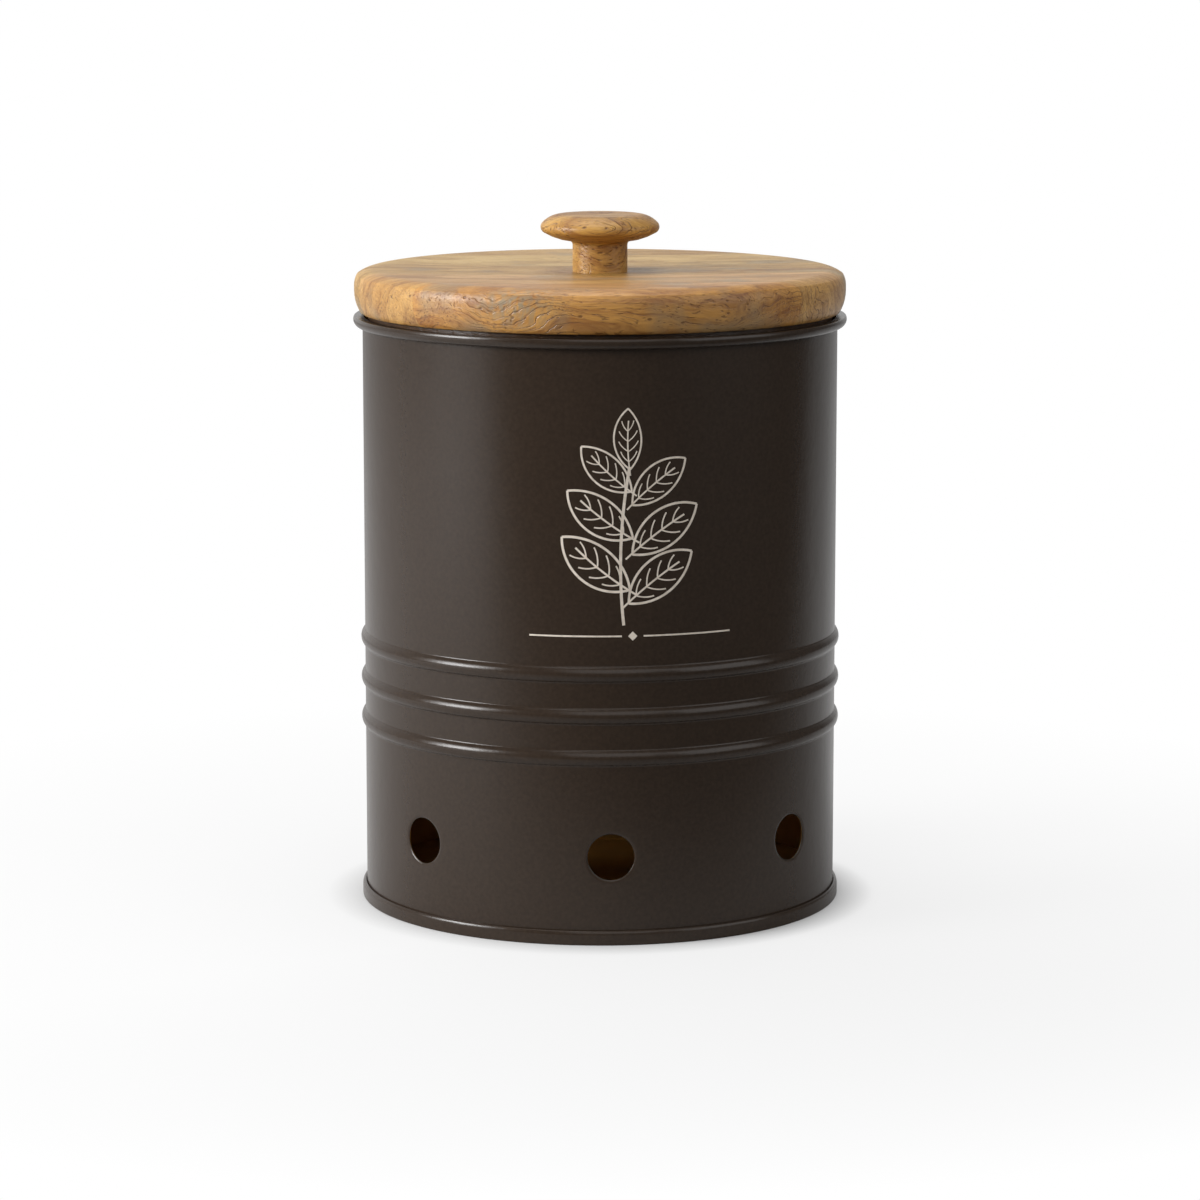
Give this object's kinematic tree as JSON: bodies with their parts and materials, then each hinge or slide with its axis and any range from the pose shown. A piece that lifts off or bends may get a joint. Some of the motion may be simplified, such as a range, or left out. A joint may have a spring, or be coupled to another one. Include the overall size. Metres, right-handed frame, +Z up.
{
  "type": "onion storage bin",
  "caption": "Round beaded steel bin with punched air vents near its foot, a curled rim and a lift-off turned wooden lid with a mushroom knob, for storing onions.",
  "frame": {"origin": "centre of the foot ring, on the surface that the bin stands on", "axes": "+Z up along the axis of the bin; the middle vent faces -Y, the front, and the lock seam is at +Y"},
  "size_m": [0.187, 0.187, 0.2614],
  "materials": {
    "coated_steel": "satin",
    "lid_wood": "satin",
    "disc_wood": "satin",
    "knob_wood": "satin",
    "screw_steel": "zinc plated"
  },
  "bodies": {
    "bin": {"body_shell": "coated_steel", "base_pan": "coated_steel"},
    "lid": {"lid_board_1": "lid_wood", "lid_board_2": "lid_wood", "lid_board_3": "lid_wood", "lid_board_4": "lid_wood", "lid_board_5": "lid_wood", "locating_disc": "disc_wood", "disc_screws": "screw_steel", "knob": "knob_wood", "knob_screw": "screw_steel", "knob_washer": "screw_steel"}
  },
  "joints": [
    {"name": "lid_lift", "type": "slide", "parent": "bin", "child": "lid", "axis": [0, 0, 1], "range_m": [0, 0.2]}
  ]
}
